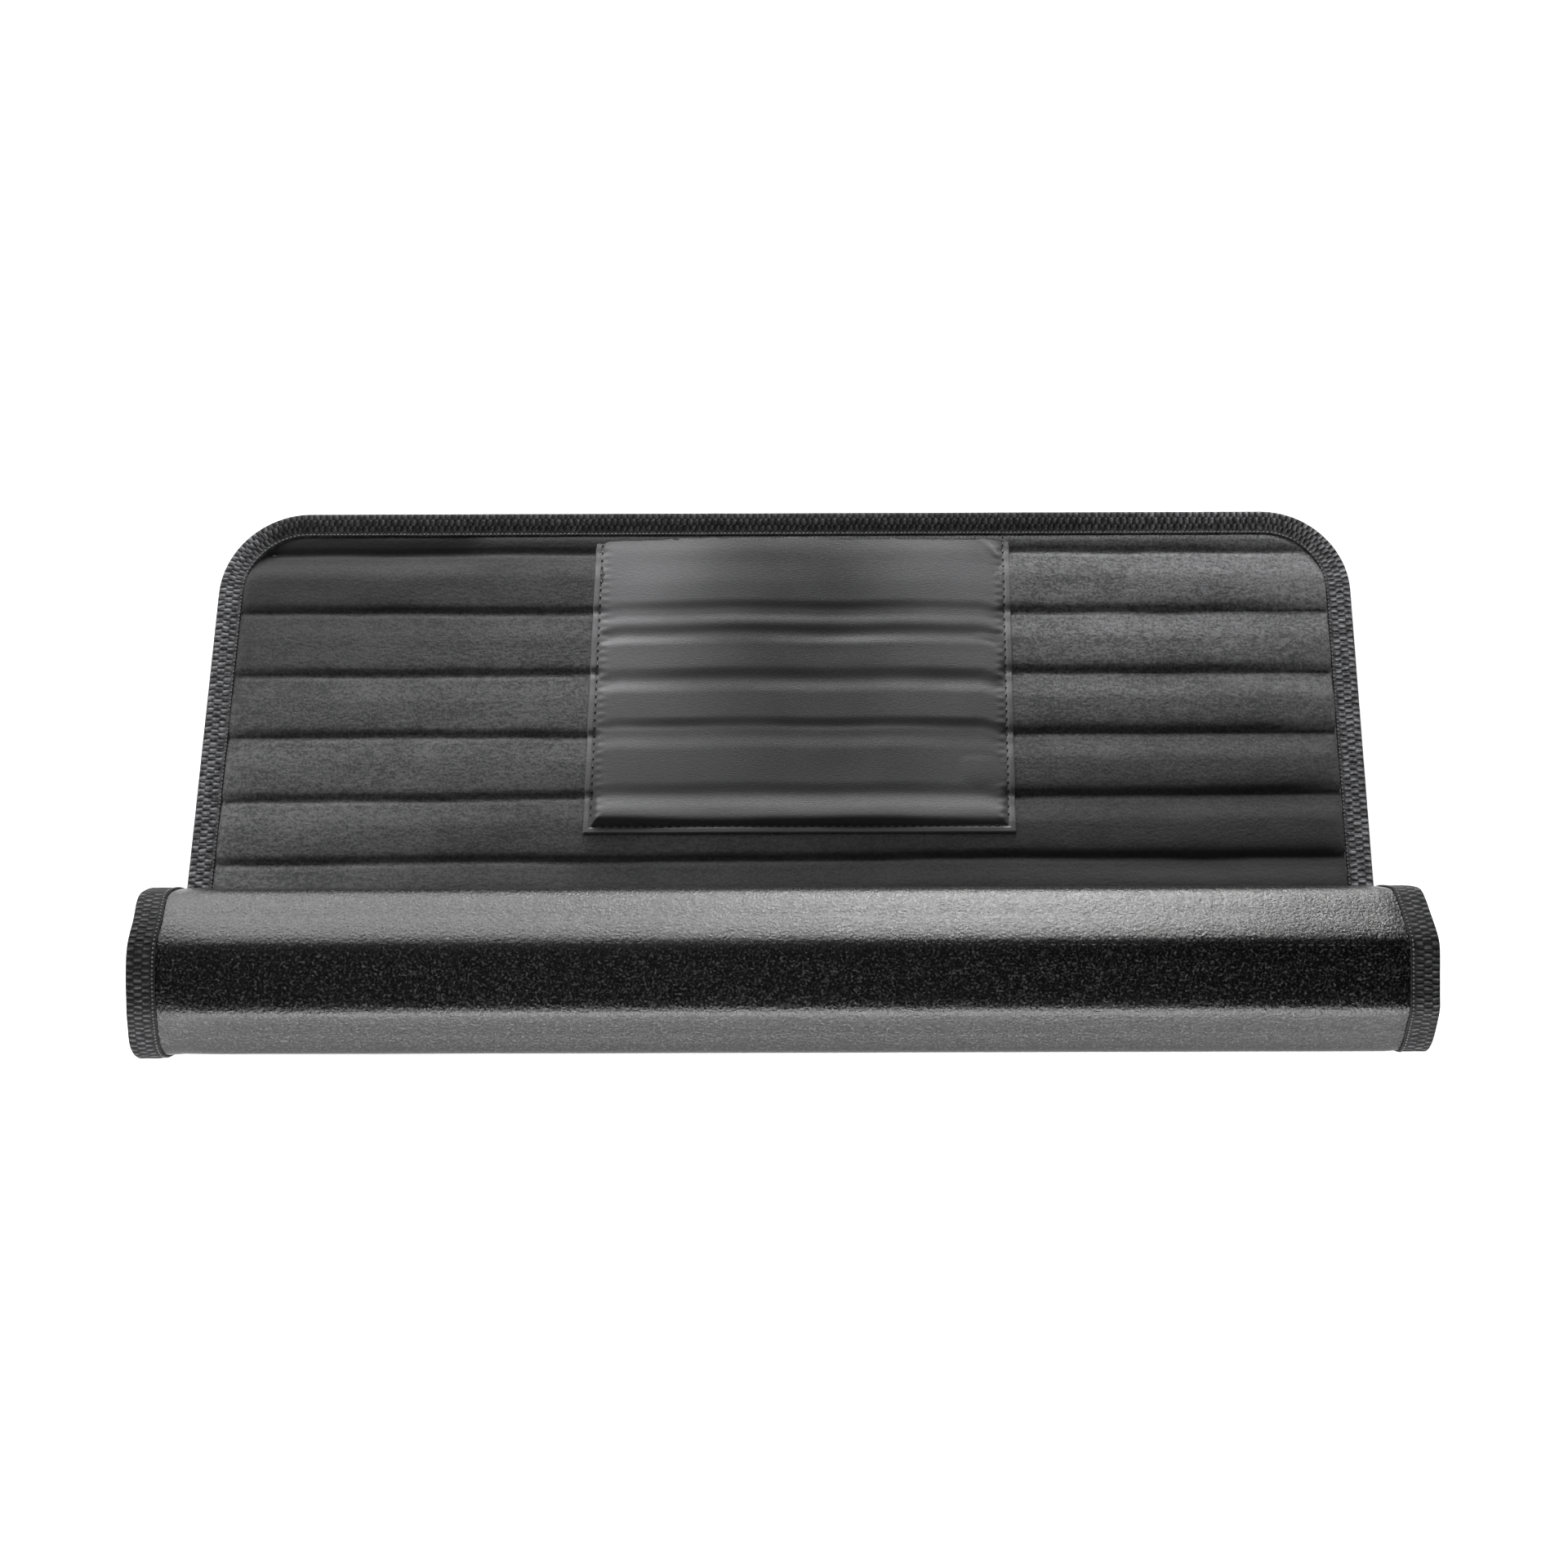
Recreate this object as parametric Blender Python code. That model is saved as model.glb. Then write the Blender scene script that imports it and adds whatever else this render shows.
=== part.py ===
"""Padded carrier mat, rolled up from one end: a quilted cloth face over foam, a vinyl back,
a folded tape round the edge and a plain satin panel sewn to the face.

Every layer is first made flat. x runs across the mat, y holds the distance s from the far end
and z holds k, 0 on a layer's outer surface and 1 on its inner one. The flat layers are cut at
shared stations along s, then rolled puts each point at its own height on the path, flat first and
then in turns, so that all the layers bend at the same places and keep their gaps.
"""

from math import cos, hypot, pi, radians, sin, sqrt

import bmesh
import bpy
from mathutils import Matrix, Vector

# Sizes of the whole mat, in metres.
MAT_WIDTH = 0.660
MAT_LENGTH = 0.965
CORNER_RADIUS = 0.050
FLAT_LENGTH = 0.280  # from the far end to where the mat lifts off the floor
CORE_RADIUS = 0.0236  # outer surface of the back at the inner end of the roll

# The quilting: seams across the mat, with a padded channel between each two.
QUILT_PITCH = 0.0366
END_MARGIN = 0.025  # from each end to its nearest seam
SEAM_FOAM = 0.0008  # foam left under a seam
CROWN_FOAM = 0.0034  # foam at the middle of a channel
BOUND_FOAM = 0.0006  # foam squeezed in the bound edge

# The layers.
GAP = 0.0003  # between two layers that touch
BACKING = 0.0009
CLOTH = 0.0007
TAPE = 0.0007
TAPE_VISIBLE = 0.0138  # width of the folded tape on each face
EDGE_BLEND = 0.0085  # from the tape to full padding

# The roll.
TURN_CLEARANCE = 0.0018  # between a turn's face and the back of the next turn in
FACET = 0.72  # how flat the outer turn lies between two seams: 0 round, 1 straight
CREASE_ROUNDING = 0.0028
ROLL_PRESS = 0.3  # share of a channel's padding that rolling presses flat

# The panel sewn to the face.
PANEL_WIDTH = 0.2425
PANEL_LENGTH = 0.1825
PANEL_CENTRE = 0.0105
PANEL_SHEET = 0.0008
PANEL_HEM = 0.005
PANEL_EASE = 0.35  # share of a seam's depth that the middle of the panel follows

STATIONS = 4  # in each channel
CORNER_STEPS = 6
OBJECT_NAME = "carrier_mat"

channels = max(2, round((MAT_LENGTH - 2 * END_MARGIN) / QUILT_PITCH))
pitch = (MAT_LENGTH - 2 * END_MARGIN) / channels
tape_edge = TAPE + 2 * GAP  # the layers stop this far inside the outline
tape_inner = TAPE_VISIBLE + GAP
full_edge = TAPE_VISIBLE + EDGE_BLEND
panel_start = TAPE_VISIBLE + GAP

# Heights from the outer surface: the tape's lower flange and the middle of the back share 0.
bound_lift = TAPE + GAP
foam_base = BACKING + GAP
crown = foam_base + CROWN_FOAM + GAP + CLOTH
bound_top = bound_lift + foam_base + BOUND_FOAM + GAP + CLOTH + GAP + TAPE
turn_step = max(crown, bound_top) + TURN_CLEARANCE

# The back is the layer that doesn't stretch, so its length sets the roll's radius.
rolled_length = MAT_LENGTH - FLAT_LENGTH
roll_radius = sqrt(CORE_RADIUS**2 + turn_step * rolled_length / pi)


def eased(value, low, high):
    """0 at low, 1 at high, with soft ends."""
    share = min(1.0, max(0.0, (value - low) / (high - low)))
    return share * share * (3 - 2 * share)


def turned(s):
    """Angle round the roll at distance s, measured along the back."""
    run = max(s - FLAT_LENGTH, 0.0)
    return (roll_radius - sqrt(max(roll_radius**2 - turn_step * run / pi, 0.0))) * 2 * pi / turn_step


def bulge(s, angle, radius):
    """How far the roll stands out at a seam, or lies in between two. Inner turns are rounder."""
    near = abs((s - END_MARGIN) / pitch - round((s - END_MARGIN) / pitch)) * pitch
    near = hypot(near, CREASE_ROUNDING) - 0.7 * CREASE_ROUNDING
    depth = pitch**2 / (8 * radius) * (0.55 - 4 * near / pitch * (1 - near / pitch))
    fade = 1 - 0.65 * eased(angle, radians(235), radians(330))
    return FACET * eased(angle, 0.0, radians(45)) * fade * 2.6 ** -max(0.0, angle / (2 * pi) - 1) * depth


def rolled(x, s, height):
    """A point of the mat at distance s and at this height over its outer surface."""
    if s <= FLAT_LENGTH:
        return Vector((x, FLAT_LENGTH - s, height))
    angle = turned(s)
    radius = roll_radius - turn_step * angle / (2 * pi)
    radius += bulge(s, angle, radius) - height
    return Vector((x, -radius * sin(angle), roll_radius - radius * cos(angle)))


def edge_distance(x, s):
    """Distance from the mat's rounded outline, inwards."""
    across = abs(x) - (MAT_WIDTH / 2 - CORNER_RADIUS)
    along = abs(s - MAT_LENGTH / 2) - (MAT_LENGTH / 2 - CORNER_RADIUS)
    outside = sqrt(max(across, 0.0) ** 2 + max(along, 0.0) ** 2)
    return CORNER_RADIUS - outside - min(max(across, along), 0.0)


def blend(x, s):
    """0 in the bound edge, 1 where the padding is full."""
    return min(1.0, max(0.0, (edge_distance(x, s) - tape_inner) / (full_edge - tape_inner)))


def lift(x, s):
    """Height of the back's outer surface: the tape passes below it at the edge."""
    return bound_lift * (1.0 - blend(x, s))


def foam(x, s):
    """Thickness of the foam: round between two seams, thin at a seam and in the bound edge."""
    phase = (s - END_MARGIN) / pitch
    full = SEAM_FOAM
    if 0.0 < phase < channels:
        part = phase - int(phase)
        pressed = 1 - ROLL_PRESS * eased(s, FLAT_LENGTH, FLAT_LENGTH + 2 * pitch)
        full += (CROWN_FOAM - SEAM_FOAM) * pressed * (4 * part * (1 - part)) ** 0.5
    return BOUND_FOAM + (full - BOUND_FOAM) * blend(x, s)


def cloth_top(x, s):
    return lift(x, s) + foam_base + foam(x, s) + GAP + CLOTH


def panel_base(x, s):
    """The panel lies on the crowns, and its hem follows the cloth down to the seams."""
    across = PANEL_WIDTH / 2 - abs(x - PANEL_CENTRE)
    along = min(s - panel_start, panel_start + PANEL_LENGTH - s)
    inner = min(1.0, max(0.0, (min(across, along) - PANEL_HEM) / PANEL_HEM))
    share = 1.0 - inner * (1.0 - PANEL_EASE)
    full = crown + GAP
    return full - share * (full - cloth_top(x, s) - GAP)


def stations():
    """Where every layer is cut across: the seams, the steps between them and the lift off."""
    steps = range(channels * STATIONS + 1)
    return sorted([FLAT_LENGTH] + [END_MARGIN + pitch * step / STATIONS for step in steps])


def outline(inset):
    """The mat's rounded outline, inset, anticlockwise from the middle of the right side."""
    points = []
    half = Vector((MAT_WIDTH / 2 - CORNER_RADIUS, MAT_LENGTH / 2 - CORNER_RADIUS))
    for corner, (sx, sy) in enumerate(((1, 1), (-1, 1), (-1, -1), (1, -1))):
        for step in range(CORNER_STEPS + 1):
            angle = (corner + step / CORNER_STEPS) * pi / 2
            ray = Vector((cos(angle), sin(angle))) * (CORNER_RADIUS - inset)
            points.append((sx * half.x + ray.x, MAT_LENGTH / 2 + sy * half.y + ray.y))
    return points


def add_ring(bm, inset, k):
    return [bm.verts.new((x, s, k)) for x, s in outline(inset)]


def loft(bm, rings, closed=False):
    """Quads between each ring of points and the next."""
    count = len(rings)
    for i in range(count if closed else count - 1):
        a, b = rings[i], rings[(i + 1) % count]
        for j in range(len(a)):
            n = (j + 1) % len(a)
            bm.faces.new((a[j], a[n], b[n], b[j]))


def cut_at_stations(bm):
    for s in stations():
        everything = bm.verts[:] + bm.edges[:] + bm.faces[:]
        bmesh.ops.bisect_plane(bm, geom=everything, plane_co=(0, s, 0), plane_no=(0, 1, 0), dist=1e-5)


def thicken(bm):
    """Turns a flat sheet at k = 0 into a closed slab from k = 0 to k = 1."""
    made = bmesh.ops.extrude_face_region(bm, geom=bm.faces[:])["geom"]
    bmesh.ops.translate(bm, verts=[v for v in made if isinstance(v, bmesh.types.BMVert)], vec=(0, 0, 1))


def flat_sheet():
    """The whole mat, with rings at the tape's inner edge and where the padding is full."""
    bm = bmesh.new()
    rings = [add_ring(bm, inset, 0.0) for inset in (tape_edge, tape_inner, full_edge)]
    loft(bm, rings)
    bm.faces.new(rings[-1])
    return bm


def flat_panel():
    """The panel's rectangle, cut along its hem and where its middle starts."""
    bm = bmesh.new()
    bmesh.ops.create_grid(bm, x_segments=1, y_segments=1, size=0.5)
    bmesh.ops.scale(bm, vec=(PANEL_WIDTH, PANEL_LENGTH, 1), verts=bm.verts)
    bmesh.ops.translate(bm, vec=(PANEL_CENTRE, panel_start + PANEL_LENGTH / 2, 0), verts=bm.verts)
    for inset in (PANEL_HEM, 2 * PANEL_HEM):
        for side in (-1, 1):
            x = PANEL_CENTRE + side * (PANEL_WIDTH / 2 - inset)
            s = panel_start + PANEL_LENGTH / 2 + side * (PANEL_LENGTH / 2 - inset)
            for point, normal in (((x, 0, 0), (1, 0, 0)), ((0, s, 0), (0, 1, 0))):
                everything = bm.verts[:] + bm.edges[:] + bm.faces[:]
                bmesh.ops.bisect_plane(bm, geom=everything, plane_co=point, plane_no=normal, dist=1e-5)
    return bm


def tape_section():
    """(inset, height) round the folded tape's C, from the lower flange's inner edge."""
    low, high = TAPE, bound_top - TAPE
    turn = TAPE * 1.6
    outer = [(TAPE_VISIBLE, 0.0), (turn, 0.0), (0.0, turn), (0.0, bound_top - turn), (turn, bound_top)]
    inner = [(TAPE_VISIBLE, high), (turn, high), (TAPE, high - turn / 2), (TAPE, low + turn / 2), (turn, low)]
    return outer + [(TAPE_VISIBLE, bound_top)] + inner + [(TAPE_VISIBLE, low)]


def flat_tape():
    """The C section swept round the outline. Here z already holds the height."""
    bm = bmesh.new()
    loft(bm, [add_ring(bm, inset, height) for inset, height in tape_section()], closed=True)
    return bm


def colour_material(name, colour, roughness):
    material = bpy.data.materials.new(name)
    material.use_nodes = True
    shader = material.node_tree.nodes["Principled BSDF"]
    shader.inputs["Base Color"].default_value = (*colour, 1.0)
    shader.inputs["Roughness"].default_value = roughness
    return material


def finish(bm, name, height, material, collection):
    """Rolls a cut layer up and makes it an object. height gives a point's own height."""
    cut_at_stations(bm)
    for vert in bm.verts:
        x, s, k = vert.co
        vert.co = rolled(x, s, height(x, s, k))
    bmesh.ops.triangulate(bm, faces=bm.faces[:])
    bmesh.ops.recalc_face_normals(bm, faces=bm.faces[:])
    mesh = bpy.data.meshes.new(name)
    bm.to_mesh(mesh)
    bm.free()
    mesh.materials.append(material)
    obj = bpy.data.objects.new(name, mesh)
    collection.objects.link(obj)
    return obj


def centre_on_floor(objects):
    """Puts the middle of the footprint at x = y = 0 and the underside on the floor."""
    points = [vert.co for obj in objects for vert in obj.data.vertices]
    low = [min(p[axis] for p in points) for axis in range(3)]
    high = [max(p[axis] for p in points) for axis in range(3)]
    shift = Vector((-(low[0] + high[0]) / 2, -(low[1] + high[1]) / 2, -low[2]))
    for obj in objects:
        obj.data.transform(Matrix.Translation(shift))


def build():
    for obj in list(bpy.data.objects):
        bpy.data.objects.remove(obj, do_unlink=True)
    collection = bpy.data.collections.new(OBJECT_NAME)
    bpy.context.scene.collection.children.link(collection)

    dark_cloth = colour_material("face_cloth", (0.055, 0.057, 0.062), 0.95)
    foam_grey = colour_material("padding", (0.42, 0.42, 0.42), 0.9)
    vinyl = colour_material("backing_sheet", (0.018, 0.018, 0.020), 0.45)
    webbing = colour_material("edge_binding", (0.030, 0.030, 0.032), 0.8)
    satin = colour_material("label_panel", (0.115, 0.117, 0.122), 0.42)

    def slab(low, thickness):
        return lambda x, s, k: low(x, s) + k * thickness(x, s)

    sheets = (
        ("backing_sheet", vinyl, slab(lift, lambda x, s: BACKING)),
        ("padding", foam_grey, slab(lambda x, s: lift(x, s) + foam_base, foam)),
        ("face_cloth", dark_cloth, slab(lambda x, s: cloth_top(x, s) - CLOTH, lambda x, s: CLOTH)),
    )
    made = []
    for name, material, height in sheets:
        bm = flat_sheet()
        thicken(bm)
        made.append(finish(bm, name, height, material, collection))

    bm = flat_panel()
    thicken(bm)
    height = slab(panel_base, lambda x, s: PANEL_SHEET)
    made.append(finish(bm, "label_panel", height, satin, collection))
    made.append(finish(flat_tape(), "edge_binding", lambda x, s, k: k, webbing, collection))
    centre_on_floor(made)


build()
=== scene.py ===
"""Looks of a padded carrier mat, laid flat at its far end and rolled up from its near end.

Every piece is laid out on the mat's own grid: x runs across, s is the distance from the far end
and h is the height over the back's outer surface. MatPath.point puts such a point in its place
on the floor or in the roll, so that cloth, vinyl, tape and stitches follow the same curve.
"""

from math import ceil, cos, floor, hypot, pi, radians, sin, sqrt

import bmesh
import bpy
from mathutils import Matrix, Vector, noise


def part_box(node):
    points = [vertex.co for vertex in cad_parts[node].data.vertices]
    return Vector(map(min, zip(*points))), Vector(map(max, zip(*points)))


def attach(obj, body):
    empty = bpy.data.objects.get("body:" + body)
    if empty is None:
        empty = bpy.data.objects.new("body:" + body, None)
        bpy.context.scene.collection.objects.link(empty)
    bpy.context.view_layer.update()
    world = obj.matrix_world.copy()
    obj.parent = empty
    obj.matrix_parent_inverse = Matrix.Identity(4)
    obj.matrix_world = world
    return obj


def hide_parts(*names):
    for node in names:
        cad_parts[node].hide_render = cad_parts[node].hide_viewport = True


bl_info = {
    "name": "Rolled carrier mat",
    "version": (1, 0, 0),
    "blender": (4, 5, 0),
    "location": "3D View > Sidebar > Mat",
    "description": "Builds a quilted carrier mat, rolled up from one end, with its studio",
    "category": "Add Mesh",
}

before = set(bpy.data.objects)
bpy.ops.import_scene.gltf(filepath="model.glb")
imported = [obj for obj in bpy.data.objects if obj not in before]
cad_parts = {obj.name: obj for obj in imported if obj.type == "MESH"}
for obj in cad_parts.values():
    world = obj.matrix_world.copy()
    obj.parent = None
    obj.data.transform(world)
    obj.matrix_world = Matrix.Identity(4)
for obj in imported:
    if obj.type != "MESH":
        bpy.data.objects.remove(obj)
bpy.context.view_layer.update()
FAR_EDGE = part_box("edge_binding")[1][1]

# The mat's own sizes, as in the part's source, in metres.
WIDTH = 0.660
LENGTH = 0.965
CORNER = 0.050
FLAT = 0.280
CORE = 0.0236
END_MARGIN = 0.025
CHANNELS = 25
PITCH = (LENGTH - 2 * END_MARGIN) / CHANNELS
GAP = 0.0003
BACKING = 0.0009
CLOTH = 0.0007
TAPE = 0.0007
TAPE_VISIBLE = 0.0138
SEAM_FOAM = 0.0008
CROWN_FOAM = 0.0034
BOUND_FOAM = 0.0006
FOAM_BASE = BACKING + GAP
BOUND_LIFT = TAPE + GAP
CROWN = FOAM_BASE + CROWN_FOAM + GAP + CLOTH
BOUND_TOP = BOUND_LIFT + FOAM_BASE + BOUND_FOAM + GAP + CLOTH + GAP + TAPE
TURN_STEP = CROWN + 0.0018
TAPE_REACH = TAPE_VISIBLE + 0.0014
PANEL_WIDTH = 0.2425
PANEL_LENGTH = 0.1825
PANEL_CENTRE = 0.0105
PANEL_START = TAPE_VISIBLE + GAP
PANEL_TUCK = 0.003

# Soft folds of the panel, from its upper end down: (distance from the far end, width, rise).
FOLDS = (
    (0.0240, 0.0080, -0.0004),
    (0.0360, 0.0120, 0.0007),
    (0.0560, 0.0050, -0.0016),
    (0.0645, 0.0050, 0.0012),
    (0.0708, 0.0045, -0.0015),
    (0.0775, 0.0055, 0.0016),
    (0.0885, 0.0080, 0.0003),
    (0.0980, 0.0060, -0.0019),
    (0.1060, 0.0070, 0.0017),
    (0.1275, 0.0050, -0.0017),
    (0.1312, 0.0025, 0.0004),
    (0.1400, 0.0070, 0.0013),
    (0.1668, 0.0060, -0.0014),
    (0.1750, 0.0080, 0.0011),
)


# Rows of the meshes (across the mat, along it), and the spacing of the tape's stations.
FACE_GRID = (210, 330)
FOAM_GRID = (24, 420)
BACK_GRID = (150, 480)
PANEL_GRID = (240, 220)
TAPE_STATION = 0.0035
CORNER_STEPS = 16
FOLD_STEPS = 8

# Stitches: half their length as a share of their pitch, and their thread's radius.
STITCH_SHARE = 0.36
TAPE_STITCH_SHARE = 0.3
THREAD_RADIUS = {
    "quilting_back": 0.0002,
    "quilting_face": 0.0002,
    "tape_stitches": 0.00042,
    "panel_stitches": 0.00048,
}
BACK_STITCH_LIFT = 0.00038

# Sockets of a colour Mix node.
MIX_FACTOR, MIX_LOW, MIX_HIGH, MIX_COLOUR = 0, 6, 7, 2

# The fitted camera: its place, from the far end of the roll's flat part, and its turns.
CAMERA_PLACE = (0.00352, -0.18747, 1.01248)
CAMERA_PITCH, CAMERA_YAW, CAMERA_ROLL = 1.28151, 0.00914, -0.01166
SENSOR = 36.0

# Lights: (place, target, size).
BACK_LIGHT = ((-0.65, 1.9, 0.6), (0.0, 0.0, 0.03), (2.2, 1.15))
ACCENT_LIGHT = ((0.46, 1.9, 0.24), (0.1, 0.0, 0.03), (0.36, 0.36))
FRONT_LIGHT = ((0.0, -2.0, 0.3), (0.0, -0.15, 0.04), (2.6, 0.4))
TOP_LIGHT = ((-0.4, 0.35, 2.0), (0.0, 0.0, 0.03), (1.6, 0.5))
LEFT_LIGHT = ((-2.2, 0.2, 0.5), (0.0, 0.05, 0.03), (1.2, 0.6))
RIGHT_LIGHT = ((2.2, 0.2, 0.5), (0.0, 0.05, 0.03), (1.2, 0.6))
FLOOR_SIZE = 4.0
FLOOR_DROP = 0.0004
DARK_AIR = (0.004, 0.004, 0.004, 1.0)
PALE_AIR = (0.8, 0.8, 0.8, 1.0)

FALLOFF = 2.718


def smooth(value, low, high):
    """0 below low, 1 above high, with soft ends."""
    t = min(1.0, max(0.0, (value - low) / (high - low)))
    return t * t * (3 - 2 * t)


def bell(value, width):
    """1 where value is 0, falling off on both sides over this width."""
    return FALLOFF ** -((value / width) ** 2)


def wander(x, y, z=0.0, scale=1.0):
    """Smooth noise from -1 to 1, with bumps about this far apart in metres."""
    return noise.noise(Vector((x / scale, y / scale, z)))


class MatSizes(bpy.types.PropertyGroup):
    """Sizes of the mat's quilting, tape and stitches."""

    flatness: bpy.props.FloatProperty(
        name="Facet flatness",
        description="How flat the roll lies between two seams",
        default=0.72,
        min=0,
        max=1,
    )
    crease_width: bpy.props.FloatProperty(
        name="Crease width",
        description="Rounding of the roll at a seam",
        default=0.0028,
        subtype="DISTANCE",
    )
    rise: bpy.props.FloatProperty(
        name="Rise",
        description="How far a puff takes to rise from the seam above it",
        default=0.0175,
        subtype="DISTANCE",
    )
    fall: bpy.props.FloatProperty(
        name="Fall",
        description="How far a puff takes to drop to the seam below it",
        default=0.0039,
        subtype="DISTANCE",
    )
    trench: bpy.props.FloatProperty(
        name="Trench",
        description="How far the quilting thread pulls the cloth in",
        default=0.0013,
        subtype="DISTANCE",
    )
    depth: bpy.props.FloatProperty(
        name="Depth",
        description="How deep the seams lie at the mat's left",
        default=0.0010,
        subtype="DISTANCE",
    )
    seam_wander: bpy.props.FloatProperty(
        name="Seam wander",
        description="How far a seam strays from a straight line",
        default=0.0011,
        subtype="DISTANCE",
    )
    slant: bpy.props.FloatProperty(
        name="Slant",
        description="How far the seams near the roll slant over the width",
        default=0.0040,
        subtype="DISTANCE",
    )
    drift: bpy.props.FloatProperty(
        name="Drift",
        description="How far the flat part's middle seams lie towards the roll",
        default=0.0033,
        subtype="DISTANCE",
    )
    askew: bpy.props.FloatProperty(
        name="Askew",
        description="How far the flat part's ends lean to the sides",
        default=0.0017,
        subtype="DISTANCE",
    )
    pucker: bpy.props.FloatProperty(
        name="Pucker",
        description="Height of the small gathers along a seam",
        default=0.00022,
        subtype="DISTANCE",
    )
    quilt_stitch: bpy.props.FloatProperty(
        name="Quilting stitch",
        description="Pitch of the quilting stitches",
        default=0.0052,
        subtype="DISTANCE",
    )
    panel_stitch: bpy.props.FloatProperty(
        name="Panel stitch",
        description="Pitch of the stitches round the panel",
        default=0.0047,
        subtype="DISTANCE",
    )
    tape_stitch: bpy.props.FloatProperty(
        name="Tape stitch",
        description="Pitch of the stitches along the tape",
        default=0.0023,
        subtype="DISTANCE",
    )
    hem: bpy.props.FloatProperty(
        name="Hem",
        description="Width of the panel's turned hem",
        default=0.0040,
        subtype="DISTANCE",
    )


class MatColours(bpy.types.PropertyGroup):
    """Colours of the mat's cloths and threads."""

    cloth: bpy.props.FloatVectorProperty(
        name="Face cloth",
        description="Brushed cloth of the face",
        subtype="COLOR",
        default=(0.086, 0.086, 0.088),
    )
    vinyl: bpy.props.FloatVectorProperty(
        name="Vinyl",
        description="Grained vinyl of the back",
        subtype="COLOR",
        default=(0.0016, 0.0016, 0.0017),
    )
    # Painted glints: light dots standing for the vinyl's grain catching the light.
    painted_glint: bpy.props.FloatVectorProperty(
        name="Vinyl speck",
        description="Lighter specks of the vinyl",
        subtype="COLOR",
        default=(0.065, 0.065, 0.065),
    )
    tape: bpy.props.FloatVectorProperty(
        name="Tape",
        description="Ground of the edge tape",
        subtype="COLOR",
        default=(0.007, 0.007, 0.0073),
    )
    rib: bpy.props.FloatVectorProperty(
        name="Tape rib",
        description="Raised ribs of the edge tape",
        subtype="COLOR",
        default=(0.27, 0.27, 0.28),
    )
    satin: bpy.props.FloatVectorProperty(
        name="Satin",
        description="Satin weave of the panel",
        subtype="COLOR",
        default=(0.13, 0.13, 0.134),
    )
    thread: bpy.props.FloatVectorProperty(
        name="Thread", description="Sewing thread", subtype="COLOR", default=(0.006, 0.006, 0.0065)
    )
    floor: bpy.props.FloatVectorProperty(
        name="Floor", description="Studio floor", subtype="COLOR", default=(0.92, 0.92, 0.92)
    )


class StageSettings(bpy.types.PropertyGroup):
    """Camera and lights of the studio."""

    lens: bpy.props.FloatProperty(
        name="Lens", description="Camera lens on a 36 mm wide sensor", default=42.78, unit="CAMERA"
    )
    key: bpy.props.FloatProperty(
        name="Back light",
        description="Power of the low light behind the mat",
        default=80.0,
        unit="POWER",
    )
    fill: bpy.props.FloatProperty(
        name="Front light",
        description="Power of the low light in front",
        default=105.0,
        unit="POWER",
    )
    accent: bpy.props.FloatProperty(
        name="Accent",
        description="Power of the narrower light behind, to the right",
        default=50.0,
        unit="POWER",
    )
    top: bpy.props.FloatProperty(
        name="Top light",
        description="Power of the faint light above, behind the mat",
        default=5.0,
        unit="POWER",
    )
    sides: bpy.props.FloatProperty(
        name="Side lights",
        description="Power of each low light at the sides",
        default=1.5,
        unit="POWER",
    )
    glow: bpy.props.FloatProperty(
        name="Floor glow",
        description="Light that the floor gives off by itself",
        default=0.64,
        min=0,
    )


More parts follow.
